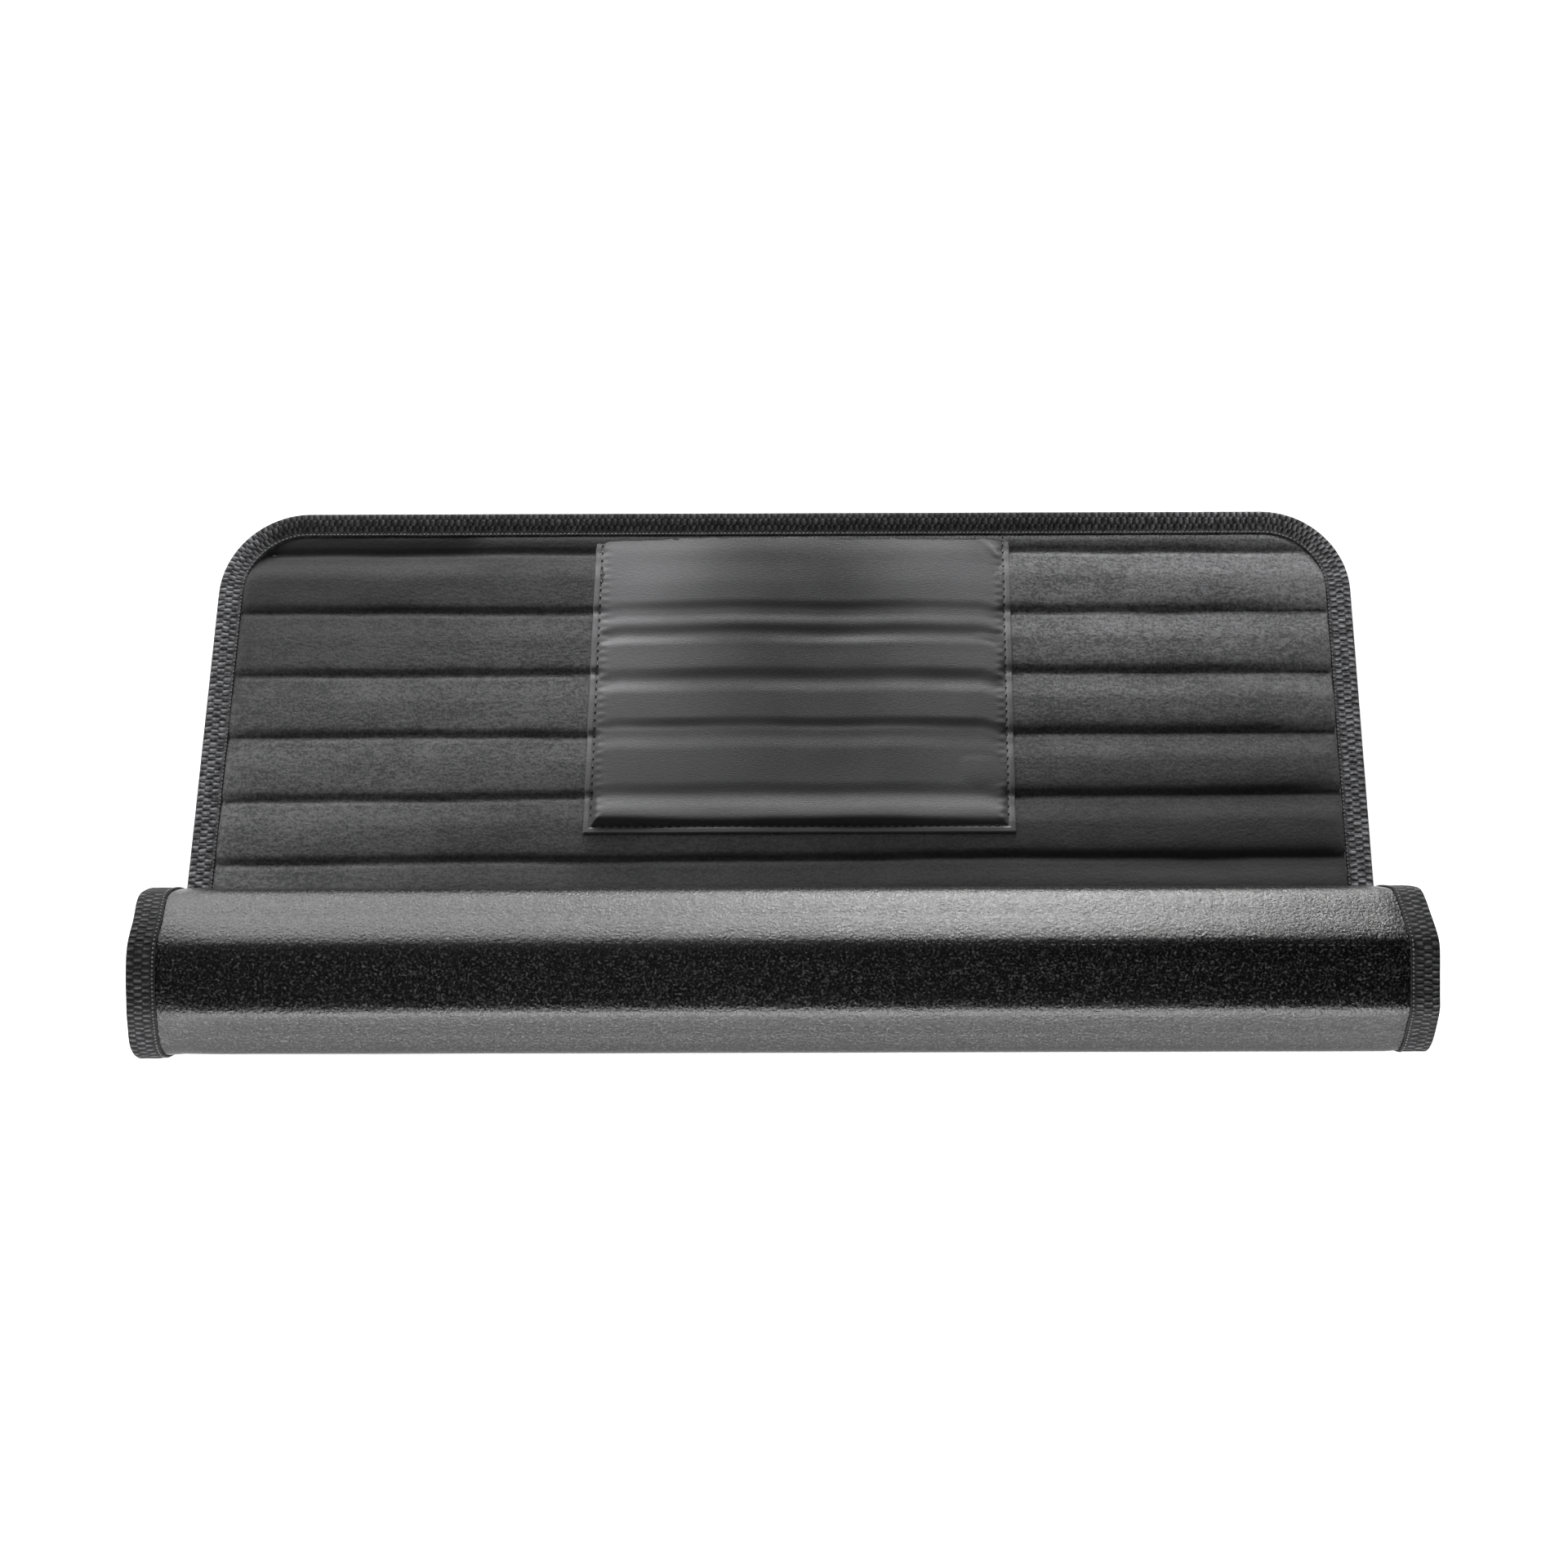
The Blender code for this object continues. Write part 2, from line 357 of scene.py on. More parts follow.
class MatPath:
    """Where the mat's points lie: flat up to the roll, then round it inwards."""

    def __init__(self, flatness, crease, askew):
        self.flatness = flatness
        self.askew = askew
        self.crease = crease
        self.radius = sqrt(CORE**2 + TURN_STEP * (LENGTH - FLAT) / pi)

    def angle(self, s):
        """How far round the roll s lies; the outer turn slipped back a little at its rear."""
        run = max(s - FLAT, 0.0)
        inner = sqrt(max(self.radius**2 - TURN_STEP * run / pi, 0.0))
        angle = (self.radius - inner) * 2 * pi / TURN_STEP
        slipped = smooth(angle, radians(100), radians(195))
        slipped *= 1 - smooth(angle, radians(245), radians(300))
        return angle - radians(5.2) * slipped

    def bulge(self, x, s, angle):
        """How far the roll stands out at a seam, or lies in between two."""
        radius = self.radius - TURN_STEP * angle / (2 * pi)
        phase = (s - END_MARGIN) / PITCH
        near = abs(phase - round(phase)) * PITCH
        near = hypot(near, self.crease) - self.crease * 0.7
        depth = PITCH**2 / (8 * radius) * (4 * near / PITCH * (1 - near / PITCH))
        fade = 1 - 0.65 * smooth(angle, radians(258), radians(335))
        fade *= 2.6 ** -max(0.0, angle / (2 * pi) - 1)
        stiff = 1 - 0.55 * smooth(-x, WIDTH / 2 - 0.045, WIDTH / 2 - 0.008)
        share = self.flatness * stiff * smooth(angle, 0.0, radians(45)) * fade
        loose = 0.003 * bell(angle - radians(282), radians(30))
        return loose + share * (0.55 * PITCH**2 / (8 * radius) - depth)

    def flare(self, x, angle):
        """How far the bound ends of the outer turn stand out, sideways and from the roll."""
        end = smooth(abs(x), WIDTH / 2 - 0.075, WIDTH / 2)
        rise = smooth(angle, 0.0, radians(60)) * (1 - smooth(angle, radians(260), radians(330)))
        front = 1 - smooth(angle, radians(98), radians(150))
        if x > 0:
            return end * rise * (0.0012 + 0.0028 * front), 0.0
        behind = smooth(angle, radians(200), radians(240))
        raised = 1 - smooth(angle, radians(100), radians(125))
        lip = smooth(-x, WIDTH / 2 - 0.024, WIDTH / 2 - 0.008) * rise
        lip *= smooth(angle, radians(50), radians(85)) * raised
        return -end * rise * (0.0012 + 0.0042 * front + 0.0030 * behind), 0.0024 * lip

    def point(self, x, s, h):
        """The place of a point at height h over the back."""
        lean = self.askew * (0.12 - s) * (1 - smooth(s, FLAT - 0.02, FLAT + 0.05)) / 0.11
        if s <= FLAT:
            return Vector((x + lean, FAR_EDGE - s, h))
        angle = self.angle(s)
        out, lip = self.flare(x, angle)
        radius = self.radius - TURN_STEP * angle / (2 * pi) + self.bulge(x, s, angle) + lip - h
        y = FAR_EDGE - FLAT - radius * sin(angle)
        return Vector((x + lean + out, y, self.radius - radius * cos(angle)))

    def squeeze(self, s):
        """Share of the padding's height that is left: the roll presses it."""
        return 1.1 - 0.4 * smooth(s, FLAT, FLAT + 2 * PITCH)


def edge_distance(x, s):
    """Distance from the mat's rounded outline, inwards."""
    across = abs(x) - (WIDTH / 2 - CORNER)
    along = abs(s - LENGTH / 2) - (LENGTH / 2 - CORNER)
    outside = hypot(max(across, 0.0), max(along, 0.0))
    return CORNER - outside - min(max(across, along), 0.0)


def half_width(s, inset):
    """Half the width of the outline at distance s, inset."""
    along = max(0.0, abs(s - LENGTH / 2) - (LENGTH / 2 - CORNER))
    radius = CORNER - inset
    return WIDTH / 2 - CORNER + sqrt(max(radius**2 - min(along, radius) ** 2, 0.0))


class Quilt:
    """Heights of the quilted layers over the back's outer surface."""

    def __init__(self, sizes, path):
        self.sizes = sizes
        self.path = path

    def seam_phase(self, x, s):
        """Position counted in seams, with each seam a little wavy."""
        z = round((s - END_MARGIN) / PITCH) * 3.7
        stray = self.sizes.seam_wander * (wander(x, z, 1.7, 0.11) + 0.45 * wander(x, z, 5.1, 0.035))
        stray *= 1 - 0.8 * smooth(s, FLAT, FLAT + PITCH)
        slant = self.sizes.slant * x / WIDTH * smooth(s, 0.05, 0.18)
        drift = self.sizes.drift * smooth(s, 0.01, 0.14) * (1 - smooth(s, 0.20, 0.27))
        return (s + stray + slant - drift - END_MARGIN) / PITCH

    def blend(self, x, s):
        return smooth(edge_distance(x, s), TAPE_REACH - 0.0008, TAPE_REACH + 0.0024)

    def back(self, x, s):
        """The vinyl's outer surface, which sinks a little along the tape."""
        return BOUND_LIFT * (1.0 - smooth(edge_distance(x, s), TAPE_REACH, TAPE_REACH + 0.005))

    def puff(self, x, s):
        """0 in a seam, 1 on a channel's crown."""
        phase = self.seam_phase(x, s)
        if not 0.0 < phase < CHANNELS:
            return 0.0
        part = phase - floor(phase)
        fall = 1 - FALLOFF ** -((1 - part) * PITCH / self.sizes.fall)
        return smooth(part * PITCH, 0.0, self.sizes.rise) * fall

    def depth(self, row, x):
        """How deep a seam lies: more to the right, and the first seam most of all."""
        if row == 0:
            return 0.0030 - 0.0012 * smooth(x, -0.19, -0.17)
        return self.sizes.depth * (1 + smooth(x, -0.05, 0.25))

    def face(self, x, s):
        """Top of the face cloth."""
        phase = self.seam_phase(x, s)
        row = round(phase)
        near = abs(phase - row) * PITCH
        puff = self.puff(x, s) if phase > 0 else 0.5 * smooth(-phase * PITCH, 0.0, 0.012)
        depth = self.depth(row, x)
        full = SEAM_FOAM + (CROWN_FOAM - SEAM_FOAM) * self.path.squeeze(s) - depth * (1 - puff)
        full -= self.sizes.trench * bell(near, 0.0018)
        full += puff * (0.0004 * wander(x, s, 2.0, 0.05) + 0.00015 * wander(x, s, 6.0, 0.014))
        gather = wander(x, row * 0.37, 9.0, 0.0075) + 0.5 * wander(x, row * 0.91, 3.0, 0.0036)
        full += self.sizes.pucker * gather * bell(near, 0.0065) * smooth(near, 0.0, 0.0015)
        blend = self.blend(x, s)
        lift = BOUND_LIFT * (1.0 - blend)
        return lift + FOAM_BASE + GAP + CLOTH + BOUND_FOAM + (full - BOUND_FOAM) * blend


def panel_folds(sizes, x, s, side):
    """Height that the soft folds give the panel, side metres from its nearer side."""
    # The folds bend towards the seams at the sides.
    bend = 0.0036 if x > PANEL_CENTRE else 0.0018
    along = s - bend * (1 - smooth(side, sizes.hem, sizes.hem + 0.016))
    along += sizes.seam_wander * wander(x, 1.0, 1.7, 0.06) - 0.0034
    height = CROWN + GAP + 0.0006
    for place, width, rise in FOLDS:
        strength = 0.52 + 0.4 * wander(x, place * 40, 5.0, 0.07)
        height += strength * rise * smooth(along, place - width * 0.65, place + width * 0.65)
    return height


def panel_top(quilt, sizes, x, s):
    """Height of the panel's surface over the back."""
    side = PANEL_WIDTH / 2 - abs(x - PANEL_CENTRE)
    foot = PANEL_START + PANEL_LENGTH - s
    head = s - PANEL_START
    rim = min(side, foot)
    inside = rim - sizes.hem
    free = panel_folds(sizes, x, s, side)
    free += 0.0011 * smooth(side, sizes.hem, 0.055) + 0.00025 * wander(x, s, 3.0, 0.03)
    # A crease runs across the upper right corner, and the cloth lies high before the foot.
    crease = bell(PANEL_CENTRE + PANEL_WIDTH / 2 - x + head * 0.8 - 0.0190, 0.0026)
    free += 0.0009 * crease * smooth(head, 0.002, 0.005) * smooth(0.020 - head, 0.0, 0.008)
    free += 0.0022 * (1 - smooth(foot, 0.005, 0.024))
    # The sewn sides gather the cloth.
    gather = 0.5 * wander(s, 0.4 if x > PANEL_CENTRE else 5.4, 1.0, 0.0065)
    gather += 0.5 * cos(2 * pi * s / sizes.panel_stitch)
    free += 0.00055 * gather * bell(max(side - sizes.hem, 0.0), 0.0042)
    # The hem follows the quilt stiffly, and the cloth rises from it.
    low = quilt.face(x, s) + GAP
    stiff = low + 0.6 * max(0.0, CROWN + GAP - low)
    sewn = max(low, stiff - 0.0005)
    ease = 1 - FALLOFF ** -((max(inside, 0.0) / 0.0026) ** 1.5)
    height = sewn + (max(free, low) - sewn) * ease
    height += 0.0005 * smooth(-inside, 0.0, 0.0015)
    # It comes out from under the tape, and its rim turns down.
    start = BOUND_TOP - 0.0016 + 0.0010 * smooth(head, 0.0004, 0.0020)
    tuck = 1 - FALLOFF ** (-max(head - 0.0012, 0.0) / 0.0180)
    height = start * (1 - tuck) + height * tuck
    return height - 0.0007 * (1 - smooth(rim, 0.0, 0.0008)) ** 2


def turn_outwards(bm):
    """Turns the faces of closed and folded pieces outwards."""
    bm.normal_update()
    bmesh.ops.recalc_face_normals(bm, faces=bm.faces[:])


def new_object(name, bm, material):
    """Turns a bmesh into an object at the origin that rides on the mat."""
    mesh = bpy.data.meshes.new(name)
    bm.to_mesh(mesh)
    bm.free()
    mesh.polygons.foreach_set("use_smooth", [True] * len(mesh.polygons))
    mesh.materials.append(material)
    piece = bpy.data.objects.new(name, mesh)
    bpy.context.scene.collection.objects.link(piece)
    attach(piece, "root")
    return piece


def laid_grid(columns, rows, place, upwards):
    """A sheet whose point (u, v), each from 0 to 1, goes to place(u, v); u and v are its UV map."""
    bm = bmesh.new()
    uv = bm.loops.layers.uv.new("UVMap")
    bmesh.ops.create_grid(bm, x_segments=columns, y_segments=rows, size=1.0)
    for face in bm.faces:
        for loop in face.loops:
            loop[uv].uv = ((loop.vert.co.x + 1) / 2, (loop.vert.co.y + 1) / 2)
    for vert in bm.verts:
        vert.co = place((vert.co.x + 1) / 2, (vert.co.y + 1) / 2)
    # v runs towards the viewer, so the laid faces look down until they are turned.
    if upwards:
        bmesh.ops.reverse_faces(bm, faces=bm.faces[:])
    return bm


def stretched(knots):
    """A function from 0..1 to distances, straight between the knots (share, distance)."""

    def at(v):
        for (v0, s0), (v1, s1) in zip(knots, knots[1:]):
            if v <= v1:
                return s0 + (s1 - s0) * (v - v0) / (v1 - v0)
        return knots[-1][1]

    return at


class Wire:
    """A node's output in a formula, whose operators and methods add Math nodes."""

    def __init__(self, tree, socket):
        self.tree, self.socket = tree, socket

    def _math(self, operation, *others, swap=False):
        values = (*others, self) if swap else (self, *others)
        return self.tree.add("ShaderNodeMath", {"operation": operation}, *values)

    def __add__(self, other):
        return self._math("ADD", other)

    def __sub__(self, other):
        return self._math("SUBTRACT", other)

    def __mul__(self, other):
        return self._math("MULTIPLY", other)

    def __truediv__(self, other):
        return self._math("DIVIDE", other)

    def __rsub__(self, other):
        return self._math("SUBTRACT", other, swap=True)

    def __rpow__(self, other):
        return self._math("POWER", other, swap=True)

    __radd__ = __add__
    __rmul__ = __mul__

    def most(self, other):
        return self._math("MAXIMUM", other)

    def fraction(self):
        return self._math("FRACT")

    def whole(self):
        return self._math("FLOOR")

    def size(self):
        return self._math("ABSOLUTE")

    def ramp(self, low, high, out_low=0.0, out_high=1.0):
        """Maps low..high to out_low..out_high with soft ends."""
        soft = {"interpolation_type": "SMOOTHSTEP"}
        return self.tree.add("ShaderNodeMapRange", soft, self, low, high, out_low, out_high)


class Finish:
    """A material with a Principled BSDF, built from formulas."""

    def __init__(self, name, **constants):
        self.material = bpy.data.materials.new(name)
        self.material.use_nodes = True
        self.nodes = self.material.node_tree.nodes
        self.links = self.material.node_tree.links
        self.shader = self.nodes["Principled BSDF"]
        for socket, value in constants.items():
            self.shader.inputs[socket.replace("_", " ")].default_value = value

    def add(self, kind, settings, *values, output=0, **named):
        """Adds a node: its settings first, then the values or links of its sockets."""
        node = self.nodes.new(kind)
        for key, value in settings.items():
            setattr(node, key, value)
        pairs = list(zip(node.inputs, values))
        pairs += [(node.inputs[name.replace("_", " ")], value) for name, value in named.items()]
        for socket, value in pairs:
            if isinstance(value, Wire):
                self.links.new(value.socket, socket)
            else:
                socket.default_value = value
        return Wire(self, node.outputs[output])

    def place(self):
        return self.add("ShaderNodeTexCoord", {}, output="Object")

    def surface(self):
        return self.add("ShaderNodeUVMap", {"uv_map": "UVMap"})

    def scaled(self, vector, x, y, z):
        return self.add("ShaderNodeVectorMath", {"operation": "MULTIPLY"}, vector, (x, y, z))

    def parts(self, vector):
        wire = self.add("ShaderNodeSeparateXYZ", {}, vector)
        return [Wire(self, wire.socket.node.outputs[i]) for i in range(3)]

    def noise(self, vector, scale, detail=2.0, roughness=0.5):
        values = {"Vector": vector, "Scale": scale, "Detail": detail, "Roughness": roughness}
        return self.add("ShaderNodeTexNoise", {}, **values)

    def cells(self, vector, scale):
        return self.add("ShaderNodeTexVoronoi", {}, Vector=vector, Scale=scale)

    def tint(self, factor, low, high):
        """A colour between low and high."""
        node = self.nodes.new("ShaderNodeMix")
        node.data_type = "RGBA"
        self.links.new(factor.socket, node.inputs[MIX_FACTOR])
        node.inputs[MIX_LOW].default_value = (*low, 1.0)
        node.inputs[MIX_HIGH].default_value = (*high, 1.0)
        return Wire(self, node.outputs[MIX_COLOUR])

    def bump(self, height, distance, strength=1.0):
        return self.add("ShaderNodeBump", {}, Strength=strength, Distance=distance, Height=height)

    def feed(self, **wires):
        for name, wire in wires.items():
            self.links.new(wire.socket, self.shader.inputs[name.replace("_", " ")])
        return self.material


def shade(colour, factor):
    return tuple(c * factor for c in colour)


def brushed_cloth(colours):
    """Short brushed nap: fine grain, faint streaks, painted sheen and shade that change over the
    mat, and painted shadow of the tape at the far edge.
    """
    cloth = Finish("brushed_cloth", Roughness=0.9, Sheen_Weight=0.25, Sheen_Roughness=0.5)
    place = cloth.place()
    x, y, _ = cloth.parts(place)
    grain = cloth.noise(place, 650.0, 3.0, 0.7)
    streak = cloth.noise(cloth.scaled(place, 210.0, 480.0, 480.0), 1.0, 3.0, 0.65)
    patch = cloth.noise(cloth.scaled(place, 18.0, 45.0, 45.0), 1.0, 3.0, 0.55)
    mix = (grain * 0.5 + streak * 0.3 + patch * 0.2).ramp(0.39, 0.61)
    # Painted sheen and shade: a smooth lightening and darkening over the mat as the light falls,
    # darker next to the roll.
    painted_sheen_and_shade = x * y * 51.0 - x * 2.0 + y * 16.2 - y * y * 117.0 - x * x * (y * 55.0 + 0.44) - 0.5
    lean = FALLOFF ** painted_sheen_and_shade
    # Painted shadow of the tape on the cloth along the far edge, darkest to the left.
    painted_tape_shadow = y.ramp(0.1365, 0.1395, 1.0, 0.0).most(x.ramp(-0.195, -0.170, 0.1, 0.75))
    # Painted shade: the cloth is darker towards the left of the mat's far end.
    corner = y.ramp(0.098, 0.106, 1.0, 0.0).most(x.ramp(-0.26, -0.06, 0.76, 1.0))
    tone = (mix * 0.64 + 0.18) * lean * painted_tape_shadow * corner * 0.5
    colour = cloth.tint(tone, shade(colours.cloth, 0.1), shade(colours.cloth, 3.7))
    height = grain * 0.6 + streak * 0.4
    return cloth.feed(Base_Color=colour, Normal=cloth.bump(height, 0.0005, 0.8))


def pebbled_vinyl(colours):
    """Glossy vinyl with a fine pebble grain and painted glints, fainter lower on the roll."""
    vinyl = Finish("pebbled_vinyl", IOR=1.54, Specular_IOR_Level=0.31)
    place = vinyl.place()
    z = vinyl.parts(place)[2]
    height = vinyl.noise(place, 640.0, 3.0, 0.65)
    grain = vinyl.noise(place, 820.0, 2.0, 0.6)
    rough = grain.ramp(0.35, 0.65, 0.22, 0.32)
    # Painted glints where the grain would catch the light, fading lower on the roll as painted
    # shade.
    painted_glint = grain.ramp(0.52, 0.66) * height.ramp(0.38, 0.6) * z.ramp(0.030, 0.075, 0.25, 1.0)
    colour = vinyl.tint(painted_glint, colours.vinyl, colours.painted_glint)
    return vinyl.feed(Base_Color=colour, Roughness=rough, Normal=vinyl.bump(height, 0.00052, 1.0))


def woven_tape(colours, middle):
    """Tape woven in staggered light ribs, each with a painted shadow after it, in columns either
    side of its fold; painted sheen and shade change its tone over the mat.

    Its UV map is in metres, and middle is the distance from its edge to its fold.
    """
    tape = Finish("woven_tape", Roughness=0.75, Specular_IOR_Level=0.1)
    along, across, _ = tape.parts(tape.surface())
    place = tape.place()
    x, _, z = tape.parts(place)
    wave = tape.noise(place, 180.0, 2.0, 0.5)
    from_fold = (across - middle).size()
    column = (from_fold - 0.0024) / 0.0042 + wave * 0.3
    row = along / 0.0037 + column.whole() * 0.5 + wave * 0.6
    step = row.fraction()
    inside = (column.fraction() - 0.5).size().ramp(0.36, 0.5, 1.0, 0.0)
    outer = from_fold.ramp(0.0125, 0.0145, 1.0, 0.15)
    rib = (step - 0.3).size().ramp(0.08, 0.24, 1.0, 0.0) * inside * outer
    # Painted shadow: a dark dash after each rib, where the weave dips under; the same mask dips the
    # bump.
    rib_dip_and_painted_shadow = (step - 0.7).size().ramp(0.06, 0.18, 1.0, 0.0) * inside * outer
    # Painted shade in the groove along the tape's stitch line.
    sewn = (from_fold - (middle - 0.0015)).size().ramp(0.0002, 0.0006, 1.0, 0.0)
    fibre = tape.noise(place, 1300.0, 2.0, 0.6).ramp(0.3, 0.7, 0.7, 1.25)
    fade = tape.noise(place, 240.0, 3.0, 0.6).ramp(0.35, 0.65, 0.35, 1.2)
    # Painted sheen: the tape is lighter along the mat's sides than across its ends, and a little
    # lighter on the right.
    side = x.size().ramp(0.290, 0.324, 0.25, 1.0).most(x.ramp(0.10, 0.24, 0.0, 0.55))
    # Painted shade: the tape darkens higher up on the roll.
    rolled = z.ramp(0.010, 0.040, 1.0, 0.1)
    ground = (0.42 - rib_dip_and_painted_shadow * 0.4 - sewn * 0.4) * rolled
    tone = (ground + rib * (rolled * 0.4 + 0.18)) * fibre * fade * side
    colour = tape.tint(tone, colours.tape, colours.rib)
    height = rib * 0.8 - rib_dip_and_painted_shadow * 0.8 + fibre * 0.3
    return tape.feed(Base_Color=colour, Normal=tape.bump(height, 0.0004, 0.8))


def satin_weave(colours):
    """Smooth satin: fine weave lines, a faint cloudy tone, painted sheen towards its sides, a
    painted highlight on its hem and painted shadow under the tape.
    """
    satin = Finish("satin_weave", Sheen_Weight=0.1, Sheen_Roughness=0.3, IOR=1.5)
    place = satin.place()
    x, y, _ = satin.parts(place)
    weave = satin.noise(satin.scaled(place, 400.0, 2200.0, 2200.0), 1.0, 2.0, 0.5)
    cloud = satin.noise(place, 16.0, 3.0, 0.5)
    # Painted sheen: lighter towards the sides, most at the upper end and to the left, and lighter
    # towards the near end.
    up = y.ramp(-0.04, 0.13)
    side = ((x - PANEL_CENTRE).size() / 0.105).ramp(0.1, 1.0)
    painted_sheen = side * (up * 1.7 + 0.35) * (1.02 - x * 1.9) + (1 - up) * 0.42
    u, v, _ = satin.parts(satin.surface())
    # Painted highlight along the hem.
    hem = (u - 0.5).size().ramp(0.438, 0.448).most(v.ramp(0.935, 0.945))
    tone = (weave * 0.12 + cloud * 0.2) * (1 - up * 0.55) + painted_sheen * 0.38 + hem * 0.3
    # Painted shadow of the tape over the panel's upper end.
    tone = tone * v.ramp(0.018, 0.060, 0.6, 1.0)
    colour = satin.tint(tone, shade(colours.satin, 0.0), shade(colours.satin, 1.05))
    rough = cloud.ramp(0.3, 0.7, 0.46, 0.54)
    return satin.feed(Base_Color=colour, Roughness=rough, Normal=satin.bump(weave, 0.0002, 0.5))


def sewing_thread(name, colour):
    """Twisted thread with a slight sheen."""
    thread = Finish(name, Roughness=0.55, Sheen_Weight=0.2)
    twist = thread.noise(thread.place(), 2400.0, 1.0, 0.5)
    tint = thread.tint(twist.ramp(0.3, 0.7), shade(colour, 0.6), shade(colour, 1.5))
    return thread.feed(Base_Color=tint, Normal=thread.bump(twist, 0.0003, 0.8))


def foam_finish():
    """Closed-cell foam."""
    foam = Finish("grey_foam", Roughness=0.9)
    cells = foam.cells(foam.place(), 900.0)
    tint = foam.tint(cells, (0.16, 0.16, 0.16), (0.36, 0.36, 0.36))
    return foam.feed(Base_Color=tint, Normal=foam.bump(cells, 0.0006, 0.7))


def floor_finish(colours, glow):
    """Pale floor that gives off a little light of its own."""
    ground = Finish(
        "studio_floor", Roughness=0.8, Emission_Strength=glow, Emission_Color=(1, 1, 1, 1)
    )
    cloud = ground.noise(ground.place(), 1.5, 2.0, 0.5)
    tint = ground.tint(cloud, shade(colours.floor, 0.99), colours.floor)
    return ground.feed(Base_Color=tint)


def props():
    scene = bpy.context.scene
    return scene.mat_sizes, scene.mat_colours, scene.mat_stage


def make_path():
    sizes = props()[0]
    return MatPath(sizes.flatness, sizes.crease_width, sizes.askew)


class MAT_OT_face(bpy.types.Operator):
    """Makes the quilted face cloth"""

    bl_idname = "mat.face"
    bl_label = "Quilted face"

    def execute(self, context):
        sizes, colours, _ = props()
        path = make_path()
        quilt = Quilt(sizes, path)
        inset = TAPE + 2 * GAP
        distance = stretched([(0.0, inset), (0.62, FLAT + 0.06), (1.0, LENGTH - inset)])

        def place(u, v):
            s = distance(v)
            x = (2 * u - 1) * half_width(s, inset)
            return path.point(x, s, quilt.face(x, s))

        bm = laid_grid(*FACE_GRID, place, upwards=True)
        piece = new_object("quilted_face", bm, brushed_cloth(colours))
        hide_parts("face_cloth")
        return {"FINISHED"}


class MAT_OT_foam(bpy.types.Operator):
    """Makes the foam between the face and the back"""

    bl_idname = "mat.foam"
    bl_label = "Foam core"

    def execute(self, context):
        sizes, _, _ = props()
        path = make_path()
        quilt = Quilt(sizes, path)
        inset = TAPE + 4 * GAP
        bm = bmesh.new()
        bmesh.ops.create_grid(bm, x_segments=FOAM_GRID[0], y_segments=FOAM_GRID[1], size=1.0)
        bmesh.ops.solidify(bm, geom=bm.faces[:], thickness=0.5)
        top = max(vert.co.z for vert in bm.verts) - 0.1
        for vert in bm.verts:
            s = inset + (LENGTH - 2 * inset) * (vert.co.y + 1) / 2
            x = vert.co.x * half_width(s, inset)
            height = quilt.back(x, s) + FOAM_BASE
            if vert.co.z > top:
                height = max(quilt.face(x, s) - CLOTH - 2.6 * GAP, height + 0.0004)
            vert.co = path.point(x, s, height)
        turn_outwards(bm)
        piece = new_object("foam_core", bm, foam_finish())
        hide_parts("padding")
        return {"FINISHED"}


class MAT_OT_back(bpy.types.Operator):
    """Makes the vinyl back"""

    bl_idname = "mat.back"
    bl_label = "Vinyl back"

    def execute(self, context):
        sizes, colours, _ = props()
        path = make_path()
        quilt = Quilt(sizes, path)
        inset = TAPE + 2 * GAP
        knots = [(0.0, inset), (0.16, FLAT - 0.01), (0.66, FLAT + 0.33), (1.0, LENGTH - inset)]
        distance = stretched(knots)

        def place(u, v):
            s = distance(v)
            x = (2 * u - 1) * half_width(s, inset)
            dent = self.dent(quilt, x, s)
            return path.point(x, s, quilt.back(x, s) + dent)

        bm = laid_grid(*BACK_GRID, place, upwards=False)
        piece = new_object("vinyl_back", bm, pebbled_vinyl(colours))
        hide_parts("backing_sheet")
        return {"FINISHED"}

    def dent(self, quilt, x, s):
        """The quilting thread pulls the vinyl in along each seam of the roll."""
        if s < FLAT or edge_distance(x, s) < TAPE_REACH:
            return 0.0
        phase = quilt.seam_phase(x, s)
        near = abs(phase - round(phase)) * PITCH
        line = 0.00008 * bell(near, 0.0015)
        soft = 0.00010 * wander(x, s, 4.0, 0.06)
        begun = smooth(s, FLAT, FLAT + 0.03)
        return line + soft * begun + 0.00018 * begun


